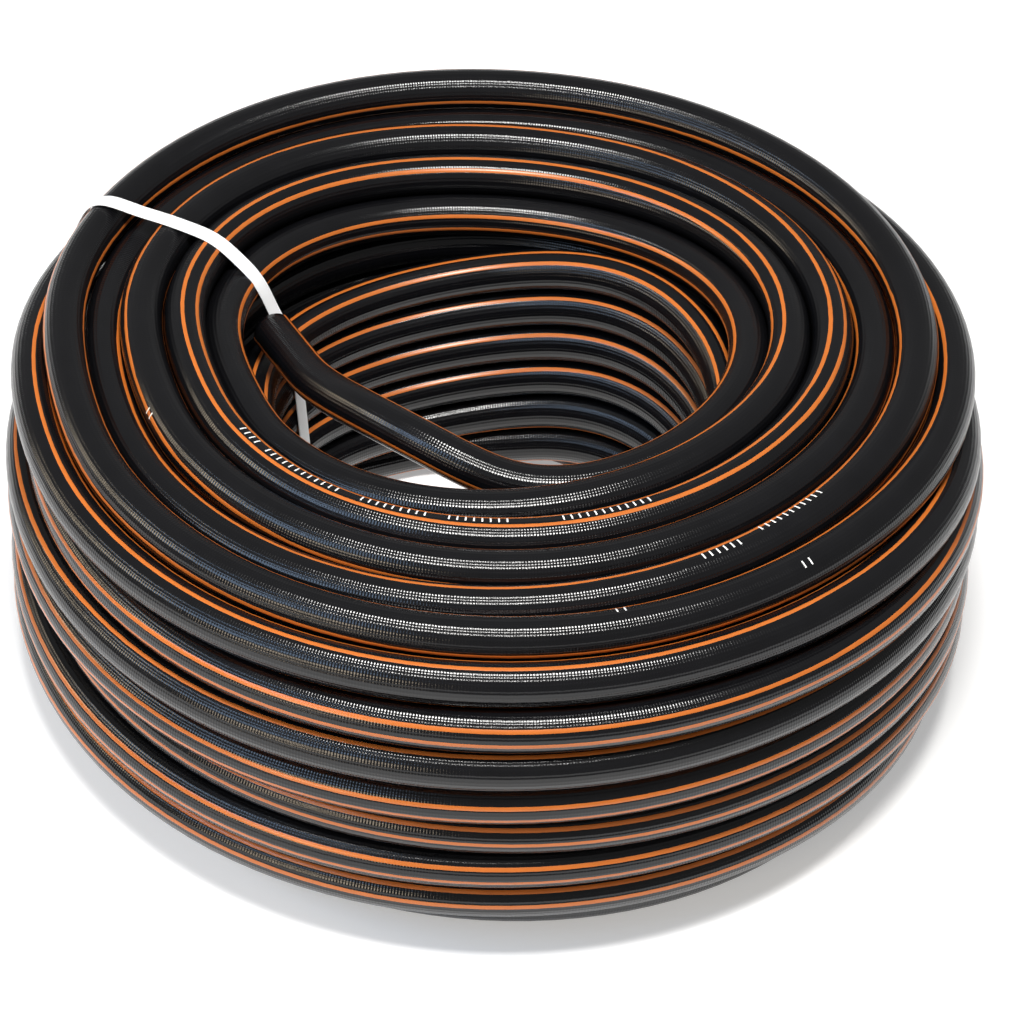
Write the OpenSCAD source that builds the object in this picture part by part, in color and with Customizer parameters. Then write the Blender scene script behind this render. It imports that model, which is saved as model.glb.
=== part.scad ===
// Reinforced garden hose, wound into a tight coil and bound with one strap.
// Millimetres, +Z up. The origin is on the ground, under the centre of the coil.
// Azimuths run counter-clockwise from +X, seen from above. Section points are [radius, height].

/* [Hose] */
// Outside diameter of the hose
hose_d = 23.3; // [20:0.1:24]
// Bore of the hose
bore_d = 19; // [14:0.1:20]
// Wall of the smooth inner tube
liner_t = 0.9; // [0.6:0.1:1.2]
// Thickness of the braided yarn between the inner tube and the jacket
braid_t = 0.4; // [0.2:0.1:0.6]
// Depth of the coloured stripes in the jacket
stripe_t = 0.5; // [0.3:0.1:0.8]
// Width of one stripe, round the jacket
stripe_w = 2.4; // [1:0.1:4]
// Angle between the two stripes of a pair
stripe_pair = 42; // [20:1:80]

/* [Coil] */
// Overall diameter of the coil
coil_d = 544; // [520:1:600]
// Overall height of the coil
coil_h = 208.5; // [180:0.5:240]
// Clear width of the oval hole through the coil, from left to right
hole_w = 253; // [230:0.5:258]
// Clear depth of that hole, from front to back
hole_d = 228.5; // [200:0.5:250]
// How far the hole lies left of the coil's centre
hole_left = 4; // [0:1:8]
// How far the hole lies behind the coil's centre
hole_back = 18; // [0:1:24]
// Least clear gap to leave between neighbouring turns
turn_gap = 0.9; // [0.8:0.1:1.5]

/* [Section of the coil] */
// Centreline radius of the top outer corner, at the front
top_outer_front = 44; // [30:1:48]
// Centreline radius of the top outer corner, at the back
top_outer_back = 14; // [12:0.5:20]
// Centreline radius of the bottom outer corner, at the front
low_outer_front = 46; // [30:1:50]
// Centreline radius of the bottom outer corner, at the back
low_outer_back = 19; // [16:1:30]
// Centreline radius of the bottom inner corner
low_inner = 16; // [14:1:24]
// Centreline radius of the top inner corner, at the front
top_inner_front = 12; // [10:0.5:20]
// Centreline radius of the top inner corner, at the back
top_inner_back = 35; // [28:1:42]
// How far the top dips towards the hole, at the back
dip = 28; // [20:1:34]
// How far the top turns stand out over the hole, at the front
overhang = 7.5; // [0:0.5:10]
// How far the lowest turns stand out into the hole, at the back
toe = 24; // [0:1:26]
// Depth that every third turn sinks between its neighbours, where it sinks most
sink_depth = 15; // [10:0.5:16]
// Azimuth at which the turns sink most
sink_azimuth = 125; // [120:1:130]

/* [Ends] */
// Azimuth at which the upper end leaves the winding
lead_azimuth = 180; // [175:5:190]
// Length of hose, from the upper inner corner down the wall of the hole, at which that end lies
lead_drop = 44; // [38:1:50]
// How far the turns slip back round the section, at the back
back_slip = 6; // [0:1:8]
// Turn of the coil over which the upper end climbs by one turn
lead_climb = 85; // [60:5:120]
// Azimuth at which the lower end leaves the winding
tail_azimuth = 315; // [300:15:330]
// How far the upper end bows into the hole
lead_bow = 34; // [26:1:36]
// How far the upper end rises from the wall of the hole to the rim
lead_lift = 20; // [12:1:22]
// How far the lower end bows into the hole
tail_bow = 12; // [8:1:16]
// Length of each square-cut end
end_l = 24; // [16:1:30]

/* [Strap] */
// Azimuth of the strap
strap_azimuth = 154.5; // [150:0.5:156]
// Width of the strap
strap_w = 9.5; // [6:0.5:14]
// Thickness of the strap
strap_t = 0.8; // [0.5:0.1:1.2]
// Length over which the two ends of the strap are welded together
weld_l = 32; // [20:1:60]

/* [Hidden] */
$fn = 64;

rings_per_turn = 24;
ring_sides = 6;
ring_step = 360 / rings_per_turn;
seat = 0.3;                      // clearance between pieces that lie on each other
open_swing = 30;                 // how far the open side turns from the top, out at the front
foot_cut = hose_d / 10;          // how deep the lowest turns are flattened by the ground
sink_every = 3;                  // one turn in this many sinks
toe_azimuth = 110;                // where the lowest turns stand out most
end_room = 0.2;                  // room beside each free end, over that of a turn, in turns
chord = cos(ring_step / 2);      // how far a chord between two rings draws in

// Centrelines of the outer layer
wall_r = (coil_d - hose_d) / 2;
hole_a = (hole_w + hose_d) / 2;
hole_b = (hole_d + hose_d) / 2;
top_z = coil_h - hose_d / 2;
low_z = hose_d / 2 - foot_cut;
front_corners = [top_outer_front, low_outer_front, low_inner, top_inner_front];
back_corners = [top_outer_back, low_outer_back, low_inner, top_inner_back];

// Layers of the hose wall
liner_d = bore_d + 2 * liner_t;
braid_d = liner_d + 2 * braid_t;
stripe_a = stripe_w / (PI * hose_d) * 360;

// The slot that each end leaves closes and opens over these azimuths of the first turn
slot_closing = [tail_azimuth + 22, tail_azimuth + 97];
slot_opening = [lead_azimuth + 235, lead_azimuth + 325];

// 0 before a, 1 after b, and smooth between them
function ease(a, b, x) = let (u = min(1, max(0, (x - a) / (b - a)))) u * u * (3 - 2 * u);

// Unit vector in the plane of the section
function facing(angle) = [cos(angle), sin(angle)];

// Least angle between two azimuths
function apart(a, b) = let (turn = (a - b) % 360, u = abs(turn)) min(u, 360 - u);

// How far towards the back an azimuth lies, from 0 to 1
function back_share(azimuth) = (1 + sin(azimuth)) / 2;

// Share of the deepest sinking that the turns have at an azimuth
function sink_share(azimuth) = pow((1 + cos(azimuth - sink_azimuth)) / 2, 0.8);

// Share of the lowest turns' standing out that they have at an azimuth
function toe_share(azimuth) = pow((1 + cos(azimuth - toe_azimuth)) / 2, 1.2);

// Share of the dip that the top has at an azimuth
function dip_share(azimuth) = pow(back_share(azimuth), 4);

// Centreline radius of the wall of the hole, which is oval and off the coil's centre
function inner_r(azimuth) =
    let (
        ray = [cos(azimuth) / hole_a, sin(azimuth) / hole_b],
        centre = [-hole_left / hole_a, hole_back / hole_b],
        toward = ray * centre
    )
    (toward + sqrt(toward * toward + ray * ray * (1 - centre * centre))) / (ray * ray);

// Height of the lowest centreline: the turns rise a little to pass over the strap
function lowest_z(azimuth) =
    let (rise = strap_t + seat + foot_cut)
    low_z + rise * (1 - ease(ring_step, 2.4 * ring_step, apart(azimuth, strap_azimuth)));

// Centreline radii of the section's corners: top outer, bottom outer, bottom inner and top inner
function corners(azimuth) =
    let (back = back_share(azimuth), top = pow(back, 1.5), share = [top, back, back, back])
    [for (i = [0:3]) (1 - share[i]) * front_corners[i] + share[i] * back_corners[i]];

// Section of the outer layer at one azimuth: its corners' centres, its legs, its whole length,
// its corners' radii and the radius of the wall of the hole
function section(azimuth) =
    let (
        c = corners(azimuth),
        inner = inner_r(azimuth),
        low = lowest_z(azimuth),
        centres = [
            [wall_r - c[0], top_z - c[0]],
            [wall_r - c[1], low + c[1]],
            [inner + c[2], low + c[2]],
            [inner + c[3], top_z - c[3]]
        ],
        legs = [
            for (i = [0:3])
                let (j = (i + 3) % 4, shift = (c[i] - c[j]) * facing(90 - 90 * i))
                each [norm(centres[i] - centres[j] + shift), PI / 2 * c[i]]
        ]
    )
    [centres, legs, legs * [for (i = [0:7]) 1], c, inner];

// Which leg of the section a distance along it falls on, and how far into that leg
function leg_at(t, legs, i = 0) = t <= legs[i] || i == 7 ? [i, t] : leg_at(t - legs[i], legs, i + 1);

// Point on the section at distance t, from the start of its top, and the way it faces there
function on_section(t, sec) =
    let (
        whole = sec[2],
        leg = leg_at(t - whole * floor(t / whole), sec[1]),
        q = floor(leg[0] / 2),
        straight = leg[0] % 2 == 0,
        c = straight ? (q + 3) % 4 : q,
        r = sec[3][c],
        face = 90 - 90 * q - (straight ? 0 : leg[1] / r * 180 / PI)
    )
    [sec[0][c] + r * facing(face) + (straight ? leg[1] * facing(face - 90) : [0, 0]), face];

// How far the weight of the turns draws a section point from the even section
function settled(p, azimuth, sec) =
    let (
        back = back_share(azimuth),
        u = min(1, max(0, (p[0] - sec[4]) / (wall_r - sec[4]))),
        v = min(1, max(0, (top_z - p[1]) / (top_z - low_z))),
        near_rim = (1 - u) * max(0, 1 - 2 * v)
    )
    p - [
        toe * toe_share(azimuth) * v * max(0, 1 - 1.5 * u) + overhang * (1 - back) * near_rim,
        dip * dip_share(azimuth) * near_rim
    ];

// Whether a turn, of a count of them, is one that sinks
function sinks(turn, count, azimuth) =
    (turn % count + (azimuth < sink_azimuth + 180 ? 1 : 2)) % sink_every == sink_every - 1;

// Centre of a turn whose place on the section is t. Turns on the wall of the hole don't sink
function place(t, sinking, azimuth, sec) =
    let (
        at = on_section(t, sec),
        free = 1 - pow(max(0, -cos(at[1])), 2),
        depth = sinking ? sink_depth * sink_share(azimuth) * free : 0
    )
    settled(at[0] - depth * facing(at[1]), azimuth, sec);

// Distance from a turn to the next: close on the side that lies open, looser on the side that doesn't
function pitch_at(t, azimuth, sec, slack) =
    let (open = 90 + open_swing * sin(azimuth))
    hose_d + turn_gap + slack * pow((1 - cos(on_section(t, sec)[1] - open)) / 2, 2);

// Distance t at which a turn lies one pitch from the turn before it
function step_on(t, from, sinking, azimuth, sec, pitch, tries = 14) =
    tries == 0 ? t
    : step_on(t + 0.95 * (pitch - norm(place(t, sinking, azimuth, sec) - from)),
              from, sinking, azimuth, sec, pitch, tries - 1);

// Distances t of a count of turns at one azimuth, and of the next turn after them
function spread(t0, azimuth, sec, slack, count) = [
    for (turn = 0, t = t0; turn <= count;
         from = place(t, sinks(turn, count, azimuth), azimuth, sec),
         pitch = pitch_at(t, azimuth, sec, slack),
         turn = turn + 1,
         t = step_on(t + pitch, from, sinks(turn, count, azimuth), azimuth, sec, pitch))
        t
];

// Free slots beside the turns: one where an end lies free
function free_slots(azimuth) =
    (1 + end_room) * (1 - ease(slot_closing[0], slot_closing[1], azimuth)
                      + ease(slot_opening[0], slot_opening[1], azimuth));

// Slack at which the turns fill the section, found by halving its range
function fit_slack(t0, azimuth, sec, count, low = -2, high = 30, tries = 16) =
    let (
        slack = (low + high) / 2,
        last = spread(t0, azimuth, sec, slack, count)[count],
        end = last + free_slots(azimuth) * pitch_at(last, azimuth, sec, slack)
    )
    tries == 0 ? slack
    : end < t0 + sec[2] ? fit_slack(t0, azimuth, sec, count, slack, high, tries - 1)
    : fit_slack(t0, azimuth, sec, count, low, slack, tries - 1);

// Where the first turn lies on the section: it climbs by one turn, and so makes room for itself
function lead_t(azimuth, one_turn) =
    one_turn * ease(lead_azimuth, lead_azimuth + lead_climb, azimuth) - lead_drop
    - back_slip * ease(lead_azimuth + 60, lead_azimuth + 160, azimuth)
                * (1 - ease(lead_azimuth + 260, lead_azimuth + 350, azimuth));

// How far the first turn climbs
function climb(count) =
    let (
        sec = section(lead_azimuth),
        slack = fit_slack(-lead_drop, lead_azimuth, sec, count)
    )
    spread(-lead_drop, lead_azimuth, sec, slack, count)[1] + lead_drop;

// Section points of all the turns at one azimuth from lead_azimuth to a whole turn on
function turns_at(azimuth, count, one_turn) =
    let (
        sec = section(azimuth),
        t0 = lead_t(azimuth, one_turn),
        slack = fit_slack(t0, azimuth, sec, count),
        ts = spread(t0, azimuth, sec, slack, count)
    )
    [for (turn = [0:count]) place(ts[turn], sinks(turn, count, azimuth), azimuth, sec)];

// Least distance between neighbours of a list of section points, taken as a closed row
function closest(points) =
    min([for (i = [0:len(points) - 1]) for (j = [0:1:i - 1]) norm(points[i] - points[j])]);

// Turns that the outer layer holds with the wanted gap between them
function most_turns(count) =
    let (
        one_turn = climb(count),
        least = min([
            for (azimuth = [lead_azimuth + ring_step:3 * ring_step:lead_azimuth + 360 - ring_step])
                fit_slack(lead_t(azimuth, one_turn), azimuth, section(azimuth), count, tries = 8)
        ])
    )
    least >= 0 ? count : most_turns(count - 1);

wound_turns = most_turns(floor(section(90)[2] / (hose_d + turn_gap)));
lead_rise = climb(wound_turns);
tail_steps = round((tail_azimuth - lead_azimuth) / ring_step);
last_azimuth = lead_azimuth + 360 * wound_turns + ring_step * tail_steps;
loops = (last_azimuth - lead_azimuth) / 360;

// How far the hose bows into the hole, by the angle wound from the start
function bow(wound) =
    lead_bow * ease(lead_azimuth - 60, lead_azimuth + 20, wound)
    * (1 - ease(lead_azimuth + 20, lead_azimuth + 90, wound))
    + tail_bow * ease(last_azimuth - 110, last_azimuth - 10, wound);

// How far the upper end rises over its place on the wall of the hole
function lift(wound) =
    lead_lift * ease(lead_azimuth - 40, lead_azimuth + 30, wound)
    * (1 - ease(lead_azimuth + 30, lead_azimuth + 105, wound));

// Point of the route, from a section point and the angle wound from the start
function on_route(point, wound) =
    let (r = point[0] - bow(wound)) [r * cos(wound), r * sin(wound), point[1] + lift(wound)];

function unit(v) = v / norm(v);

// Rings of the winding, one list per azimuth of a turn
rows = [for (k = [0:rings_per_turn - 1]) turns_at(lead_azimuth + k * ring_step, wound_turns, lead_rise)];
wound_route = [
    for (s = [0:rings_per_turn * wound_turns + tail_steps])
        on_route(rows[s % rings_per_turn][floor(s / rings_per_turn)], lead_azimuth + s * ring_step)
];

// Each end runs straight on from the winding, first as hose and then as its cut end
lead_next = on_route(turns_at(lead_azimuth + 1, wound_turns, lead_rise)[0], lead_azimuth + 1);
tail_next = on_route(turns_at(lead_azimuth + tail_steps * ring_step - 1, wound_turns, lead_rise)[wound_turns],
                     last_azimuth - 1);
lead_start = wound_route[0];
tail_start = wound_route[len(wound_route) - 1];
lead_dir = unit(lead_start - lead_next);
tail_dir = unit(tail_start - tail_next);
lead_foot = lead_start + hose_d * lead_dir;
tail_foot = tail_start + hose_d * tail_dir;
route = concat([lead_foot], wound_route, [tail_foot]);

// Least distance from a point to a stretch of the route
function off_stretch(p, a, b) =
    let (u = min(1, max(0, (p - a) * (b - a) / ((b - a) * (b - a))))) norm(p - a - u * (b - a));

// Least distance from an end's straight run to every stretch more than half a turn away from it
function end_clearance(from, dir, first, last) =
    min([
        for (u = [0:0.125:1])
            for (i = [first:last])
                off_stretch(from + u * (hose_d + end_l) * dir, route[i], route[i + 1])
    ]);

// Least gap of the tube to itself: at the rings, midway between them, and along both straight ends
function present(k) = wound_turns + (k <= tail_steps ? 1 : 0);
function ring_spacing() =
    min([for (k = [0:rings_per_turn - 1]) closest([for (i = [0:present(k) - 1]) rows[k][i]])]);
function chord_spacing() =
    min([
        for (k = [0:rings_per_turn - 2])
            closest([
                for (i = [0:present(k + 1) - 1])
                    let (mid = (rows[k][i] + rows[k + 1][i]) / 2) [chord * mid[0], mid[1]]
            ])
    ]);
function tube_gap() =
    let (half = rings_per_turn / 2, n = len(route))
    min(ring_spacing(), chord_spacing(),
        end_clearance(lead_start, lead_dir, half, n - 2),
        end_clearance(tail_start, tail_dir, 0, n - half - 2)) - hose_d;

// Length of hose along the outer layer, with both cut ends
function route_length() =
    let (n = len(route), runs = [for (i = [0:n - 2]) norm(route[i + 1] - route[i])])
    runs * [for (run = runs) 1] + 2 * end_l;

// One ring of the tube, square to the route and kept above the ground
function ring(i) =
    let (
        n = len(route) - 1,
        ahead = unit(route[min(i + 1, n)] - route[min(i, n - 1)]),
        behind = unit(route[max(i, 1)] - route[max(i - 1, 0)]),
        along = unit(ahead + behind),
        side = unit(cross(along, [0, 0, 1])),
        rise = cross(side, along)
    )
    [
        for (j = [0:ring_sides - 1])
            let (
                a = j * 360 / ring_sides,
                p = route[i] + hose_d / 2 * (cos(a) * side + sin(a) * rise)
            )
            [p[0], p[1], max(0, p[2])]
    ];

// The outer turns of the hose, as one unbroken tube
module hose_winding() {
    n = len(route);
    echo(loops = loops, least_gap = tube_gap(), outer_layer_length = route_length());
    echo(lead_face = lead_foot + end_l * lead_dir, lead_dir = lead_dir);
    echo(tail_face = tail_foot + end_l * tail_dir, tail_dir = tail_dir);
    sides = [
        for (i = [0:n - 2])
            for (j = [0:ring_sides - 1])
                let (a = i * ring_sides + j, b = i * ring_sides + (j + 1) % ring_sides)
                each [[a, a + ring_sides, b], [b, a + ring_sides, b + ring_sides]]
    ];
    caps = [
        for (j = [1:ring_sides - 2])
            let (z = (n - 1) * ring_sides)
            each [[0, j, j + 1], [z, z + j + 1, z + j]]
    ];
    color("#16161a")
        polyhedron(points = [for (i = [0:n - 1]) each ring(i)], faces = concat(sides, caps));
}

// The turns inside the outer layer, as one plain body
module hidden_turns() {
    inset = hose_d / 2 + sink_depth + seat;
    low = low_z + inset;
    high = top_z - dip - inset;
    outer = (wall_r - sink_depth) * chord - hose_d / 2 - seat;
    bevel = hose_d / 2;
    color("#101012")
        difference() {
            rotate_extrude($fn = 180)
                polygon([[0, low], [outer - bevel, low], [outer, low + bevel], [outer, high], [0, high]]);
            linear_extrude(coil_h)
                polygon([
                    for (a = [0:5:355])
                        (inner_r(a) + hose_d / 2 + seat) * facing(a)
                ]);
        }
}

// Puts its children on an end of the winding, with +Z out of the hose
module on_end(foot, dir) {
    translate(foot) rotate([0, acos(dir[2]), atan2(dir[1], dir[0])]) children();
}

// One layer of the hose wall, along a cut end
module layer(outer, inner) {
    difference() {
        cylinder(d = outer, h = end_l);
        translate([0, 0, -1]) cylinder(d = inner, h = end_l + 2);
    }
}

// Two pairs of stripes on opposite sides of the hose. Their grooves are cut over the jacket's faces
module stripes(over = 0) {
    for (side = [0, 180])
        for (pair = [-1, 1])
            rotate(side + pair * stripe_pair / 2 - stripe_a / 2)
                rotate_extrude(angle = stripe_a)
                    translate([hose_d / 2 - stripe_t, -over]) square([stripe_t + over, end_l + 2 * over]);
}

module jacket() {
    difference() {
        layer(hose_d, braid_d);
        stripes(over = 1);
    }
}

module lead_jacket() { color("#16161a") on_end(lead_foot, lead_dir) jacket(); }
module lead_stripes() { color("#d97628") on_end(lead_foot, lead_dir) stripes(); }
module lead_braid() { color("#d8d8d4") on_end(lead_foot, lead_dir) layer(braid_d, liner_d); }
module lead_liner() { color("#202024") on_end(lead_foot, lead_dir) layer(liner_d, bore_d); }
module tail_jacket() { color("#16161a") on_end(tail_foot, tail_dir) jacket(); }
module tail_stripes() { color("#d97628") on_end(tail_foot, tail_dir) stripes(); }
module tail_braid() { color("#d8d8d4") on_end(tail_foot, tail_dir) layer(braid_d, liner_d); }
module tail_liner() { color("#202024") on_end(tail_foot, tail_dir) layer(liner_d, bore_d); }

// Point of the coil's section at the strap, drawn in as the chords between rings are
function strap_rest(t, sec) =
    let (
        p = settled(on_section(t, sec)[0], strap_azimuth, sec),
        u = min(1, max(0, (p[0] - sec[4]) / (wall_r - sec[4])))
    )
    [p[0] * (chord + (1 - chord) * u), p[1]];

// Outline of the coil's section at the strap, set off by a distance
module strap_outline(away) {
    sec = section(strap_azimuth);
    steps = 96;
    polygon([
        for (i = [0:steps - 1])
            let (
                t = sec[2] * i / steps,
                along = unit(strap_rest(t + 1, sec) - strap_rest(t - 1, sec))
            )
            strap_rest(t, sec) + away * [-along[1], along[0]]
    ]);
}

// The strap: one band round the section, its ends lapped and welded on the outside of the coil
module strap() {
    inside = hose_d / 2 + seat;
    color("white")
        rotate([90, 0, strap_azimuth])
            translate([0, 0, -strap_w / 2])
                linear_extrude(strap_w) {
                    difference() {
                        strap_outline(inside + strap_t);
                        strap_outline(inside);
                    }
                    translate([wall_r + inside + strap_t, (coil_h - weld_l) / 2]) square([strap_t, weld_l]);
                }
}

hose_winding();
hidden_turns();
lead_jacket();
lead_stripes();
lead_braid();
lead_liner();
tail_jacket();
tail_stripes();
tail_braid();
tail_liner();
strap();
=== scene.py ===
import math

import bmesh
import bpy
import numpy as np
from mathutils import Matrix, Vector


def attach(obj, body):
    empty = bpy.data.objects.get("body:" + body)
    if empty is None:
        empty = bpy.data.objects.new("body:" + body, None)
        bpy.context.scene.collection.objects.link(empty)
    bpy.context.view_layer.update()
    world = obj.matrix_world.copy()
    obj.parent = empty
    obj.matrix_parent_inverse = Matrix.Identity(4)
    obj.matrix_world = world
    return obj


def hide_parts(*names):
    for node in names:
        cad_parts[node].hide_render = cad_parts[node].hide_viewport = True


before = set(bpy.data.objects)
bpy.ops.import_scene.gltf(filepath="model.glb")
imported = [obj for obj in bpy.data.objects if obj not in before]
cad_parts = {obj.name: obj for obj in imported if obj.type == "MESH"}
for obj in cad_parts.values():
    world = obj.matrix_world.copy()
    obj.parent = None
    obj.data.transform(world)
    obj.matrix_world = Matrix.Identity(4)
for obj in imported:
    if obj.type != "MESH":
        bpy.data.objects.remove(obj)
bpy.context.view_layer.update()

bl_info = {
    "name": "Coiled Garden Hose",
    "version": (1, 0, 0),
    "blender": (4, 5, 0),
    "location": "3D View > Sidebar > Hose",
    "description": "Dresses a strapped coil of reinforced garden hose",
    "category": "Object",
}

MM = 0.001
SAMPLES = 48                     # solved azimuths in one turn
RINGS = 120                      # rings of the hose in one turn of the outer layer
SIDES = 28                       # sides of the hose's tube
END_RINGS = 14                   # rings of each straight cut end
WOUND_TURNS = 23                 # whole turns of the outer layer
OPEN_SWING = 30                  # how far the open side turns from the top, out at the front, in degrees
SEAT = 0.3                       # gap between the strap and the turns, in millimetres
TOE_AZIMUTH = 110                # where the lowest turns stand out most, in degrees
CORE_STEP = 4                    # degrees between the rings of the inner turns
CORE_INSET = 25.5                # from the wall of the hole to the inner column, in millimetres
CORE_OUTER = 226.0               # radius of the outer column of the inner turns, in millimetres
RETURN_RUN = 100                 # degrees over which the hose comes back out of the coil
STRAP_POINTS = 360               # points along the strap

# Camera: millimetres for the lens, metres for distances, degrees for angles
LENS, SENSOR = 135.4, 36
SHIFT = (0.0182, -0.0302)
ELEVATION, ROLL, REACH = 42.34, 2.664, 2.176
AIM = (0, 0, 0.101)

FLOOR_HALF = 4.0                 # half the width of the floor, in metres
FLOOR_Z = -0.0005                # just below the coil, so that the two don't coincide
FLOOR_GLOW = 0.34
WORLD_LEVEL = 0.31

# Lamps: name, width, height, power in watts, colour and place
LAMPS = (
    ("key", 0.66, 0.42, 60, (1.0, 0.985, 0.96), (0.02, -0.55, 2.1)),
    ("cool_fill", 1.3, 0.5, 14, (0.50, 0.70, 1.0), (-1.5, -0.9, 1.5)),
    ("warm_rim", 0.5, 0.5, 9, (1.0, 0.84, 0.62), (-1.9, 0.1, 0.9)),
    ("warm_side", 0.7, 0.4, 9, (1.0, 0.84, 0.64), (-1.1, -1.5, 0.55)),
)

# Which way the stripes face, in degrees from the outward side, at the front and at the back of each turn
STRIPE_FACES = [
    (152, 168), (160, 110), (103, 62), (-20, 0), (-54, 30), (-26, -50), (-72, -25), (21, 60),
    (97, 50), (6, 15), (28, 22), (16, 25), (33, 35), (33, 38), (40, 45), (48, 52),
    (56, 60), (60, 60), (60, 60), (80, 105), (105, 105), (103, 101), (102, 104), (104, 104),
]

# Rows of plain ticks printed on the hose: from and to, in turns from the upper end, and the way they face
TICK_PITCH = 4.4                 # millimetres
TICK_TURNS = 8                   # the ticks all lie on this many turns, counted from the upper end
TICK_ROWS = [
    (2.090, 2.104, 105), (2.112, 2.165, 106), (2.176, 2.214, 106), (2.226, 2.262, 106),
    (2.290, 2.345, 102),
    (3.055, 3.062, 30), (4.342, 4.362, 94), (4.372, 4.408, 108), (5.298, 5.303, 112), (5.372, 5.376, 66),
]


# ---------------------------------------------------------------- sizes and colours

class HoseSizes(bpy.types.PropertyGroup):
    hose_d: bpy.props.FloatProperty(
        name="Hose diameter", description="Outside diameter of the hose, in millimetres",
        default=23.3, min=20, max=24)
    bore_d: bpy.props.FloatProperty(
        name="Bore", description="Bore of the hose, in millimetres", default=19, min=14, max=20)
    liner_t: bpy.props.FloatProperty(
        name="Inner tube", description="Wall of the smooth inner tube, in millimetres",
        default=0.9, min=0.6, max=1.2)
    braid_t: bpy.props.FloatProperty(
        name="Braid", description="Thickness of the braided yarn, in millimetres",
        default=0.4, min=0.2, max=0.6)
    stripe_w: bpy.props.FloatProperty(
        name="Stripe width", description="Width of one stripe, in millimetres", default=2.4, min=1, max=4)
    stripe_pair: bpy.props.FloatProperty(
        name="Stripe spacing", description="Angle between the two stripes of a pair, in degrees",
        default=42, min=20, max=80)
    tick_w: bpy.props.FloatProperty(
        name="Tick width", description="Width of a printed tick, along the hose, in millimetres",
        default=0.9, min=0.4, max=3)
    tick_h: bpy.props.FloatProperty(
        name="Tick height", description="Height of a printed tick, round the hose, in millimetres",
        default=4.2, min=1, max=8)


class CoilSizes(bpy.types.PropertyGroup):
    coil_d: bpy.props.FloatProperty(
        name="Coil diameter", description="Overall diameter of the coil, in millimetres", default=544)
    coil_h: bpy.props.FloatProperty(
        name="Coil height", description="Overall height of the coil, in millimetres", default=208.5)
    hole_w: bpy.props.FloatProperty(
        name="Hole width", description="Clear width of the oval hole, in millimetres", default=253)
    hole_d: bpy.props.FloatProperty(
        name="Hole depth", description="Clear depth of the hole from front to back, in millimetres",
        default=228.5)
    hole_left: bpy.props.FloatProperty(
        name="Hole left", description="How far the hole lies left of the centre, in millimetres", default=4)
    hole_back: bpy.props.FloatProperty(
        name="Hole back", description="How far the hole lies behind the centre, in millimetres", default=18)
    turn_gap: bpy.props.FloatProperty(
        name="Turn gap", description="Least gap between neighbouring turns, in millimetres", default=0.9)
    front_corners: bpy.props.FloatVectorProperty(
        name="Front corners", size=4, default=(44, 46, 16, 12),
        description="Centreline radii of the section's corners at the front: "
                    "top outer, low outer, low inner, top inner")
    back_corners: bpy.props.FloatVectorProperty(
        name="Back corners", size=4, default=(14, 19, 16, 35),
        description="Centreline radii of the section's corners at the back, in the same order")
    dip: bpy.props.FloatProperty(
        name="Dip", description="How far the top dips towards the hole at the back, in millimetres",
        default=28)
    overhang: bpy.props.FloatProperty(
        name="Overhang", default=7.5,
        description="How far the top turns stand out over the hole at the front, in millimetres")
    toe: bpy.props.FloatProperty(
        name="Toe", default=24,
        description="How far the lowest turns stand out into the hole at the back, in millimetres")
    sink_depth: bpy.props.FloatProperty(
        name="Sink", description="Depth that every third turn sinks, in millimetres", default=15)
    sink_azimuth: bpy.props.FloatProperty(
        name="Sink azimuth", description="Azimuth at which the turns sink most, in degrees", default=125)
    lead_azimuth: bpy.props.FloatProperty(
        name="Upper end", description="Azimuth at which the upper end leaves the winding, in degrees",
        default=180)
    lead_drop: bpy.props.FloatProperty(
        name="Upper end drop", description="How far down the wall of the hole that end lies, in millimetres",
        default=44)
    lead_climb: bpy.props.FloatProperty(
        name="Upper end climb", description="Turn over which that end climbs, in degrees", default=85)
    back_slip: bpy.props.FloatProperty(
        name="Slip", description="How far the turns slip back round the section at the back, in millimetres",
        default=6)
    tail_azimuth: bpy.props.FloatProperty(
        name="Lower end", description="Azimuth at which the lower end leaves the winding, in degrees",
        default=315)
    lead_bow: bpy.props.FloatProperty(
        name="Upper end bow", description="How far the upper end bows into the hole, in millimetres",
        default=34)
    lead_lift: bpy.props.FloatProperty(
        name="Upper end rise", description="How far the upper end rises to the rim, in millimetres",
        default=20)
    tail_bow: bpy.props.FloatProperty(
        name="Lower end bow", description="How far the lower end bows into the hole, in millimetres",
        default=12)
    end_l: bpy.props.FloatProperty(
        name="Cut end", description="Length of each square-cut end, in millimetres", default=24)
    end_room: bpy.props.FloatProperty(
        name="End room", description="Room beside each free end, over that of a turn, in turns",
        default=0.2)


class StrapSizes(bpy.types.PropertyGroup):
    azimuth: bpy.props.FloatProperty(
        name="Azimuth", description="Azimuth of the strap, in degrees", default=154.5)
    width: bpy.props.FloatProperty(
        name="Width", description="Width of the strap, in millimetres", default=9.5)
    thick: bpy.props.FloatProperty(
        name="Thickness", description="Thickness of the strap, in millimetres", default=0.8)
    weld_l: bpy.props.FloatProperty(
        name="Weld", description="Length of the welded lap, in millimetres", default=32)


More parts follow.
